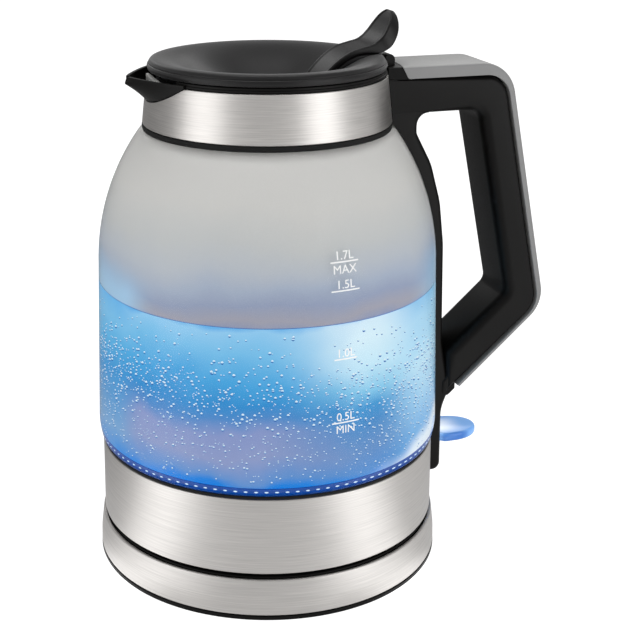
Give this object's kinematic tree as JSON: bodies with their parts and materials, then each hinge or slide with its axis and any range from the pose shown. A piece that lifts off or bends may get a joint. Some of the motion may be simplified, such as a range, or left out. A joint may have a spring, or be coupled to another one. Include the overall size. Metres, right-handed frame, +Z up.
{
  "type": "electric kettle",
  "caption": "Cordless glass kettle on a round power base: steel bands, dished black lid with a thumb lever, beaked spout, bent black handle with a grey cover, blue rocker switch.",
  "frame": {"origin": "on the kettle's axis, in the plane the power base stands on", "axes": "+Z up along the kettle's axis, +X towards the handle, the spout points to -X"},
  "size_m": [0.2114, 0.1619, 0.2488],
  "materials": {
    "black": "satin moulded plastic",
    "rubber": "matt black rubber",
    "silicone": "matt grey silicone",
    "steel": "brushed round the axis",
    "screw_steel": "bright",
    "aluminium": "satin",
    "brass": "bright",
    "clear_blue": "clear tinted, polished",
    "board": "solder-mask green",
    "white_plastic": "satin",
    "grey_trim": "satin metallic grey",
    "glass": "clear, polished"
  },
  "bodies": {
    "power_base": {"base_bottom_cover": "black", "base_foot_1": "rubber", "base_foot_2": "rubber", "base_foot_3": "rubber", "base_foot_4": "rubber", "base_screw_1": "screw_steel", "base_screw_2": "screw_steel", "base_screw_3": "screw_steel", "base_skirt": "steel", "cord_outlet": "black", "base_top_cover": "black", "base_connector": "black", "base_contact_pin": "brass", "base_contact_ring": "brass"},
    "coupler": {"jug_socket": "black", "socket_contact_sleeve": "brass"},
    "jug": {"jug_bottom_cover": "black", "lower_band": "steel", "lower_seal": "rubber", "glass_body": "glass", "heater_plate": "steel", "heat_spreader": "aluminium", "heating_element": "aluminium", "element_pin_1": "brass", "element_pin_2": "brass", "control_unit": "black", "bimetal_disc": "brass", "light_ring": "clear_blue", "led_board": "board", "led_1": "clear_blue", "led_2": "clear_blue", "led_3": "clear_blue", "led_4": "clear_blue", "neck_seal": "rubber", "neck_band": "steel", "neck_collar": "black", "spout_filter": "white_plastic", "handle_spine": "black", "handle_grip": "black", "handle_cover": "grey_trim", "handle_screw_upper": "screw_steel", "handle_screw_lower": "screw_steel", "steam_tube": "white_plastic", "lid_hinge_pin": "screw_steel", "switch_pin": "screw_steel"},
    "lid": {"lid_shell": "black", "lid_inner": "black", "lid_gasket": "silicone", "lid_lever": "black", "lid_screw_1": "screw_steel", "lid_screw_2": "screw_steel"},
    "switch": {"switch_lever": "clear_blue", "switch_rocker": "black"}
  },
  "joints": [
    {"name": "jug_lift", "type": "slide", "parent": "power_base", "child": "coupler", "axis": [0, 0, 1], "range_m": [0, 0.12]},
    {"name": "jug_swivel", "type": "hinge", "parent": "coupler", "child": "jug", "pos_m": [0, 0, 0.03], "axis": [0, 0, 1], "continuous": true},
    {"name": "lid_hinge", "type": "hinge", "parent": "jug", "child": "lid", "pos_m": [0.0539, 0, 0.2274], "axis": [0, 1, 0], "range_deg": [0, 70]},
    {"name": "switch_toggle", "type": "hinge", "parent": "jug", "child": "switch", "pos_m": [0.071, 0, 0.041], "axis": [0, -1, 0], "range_deg": [0, 10]}
  ]
}
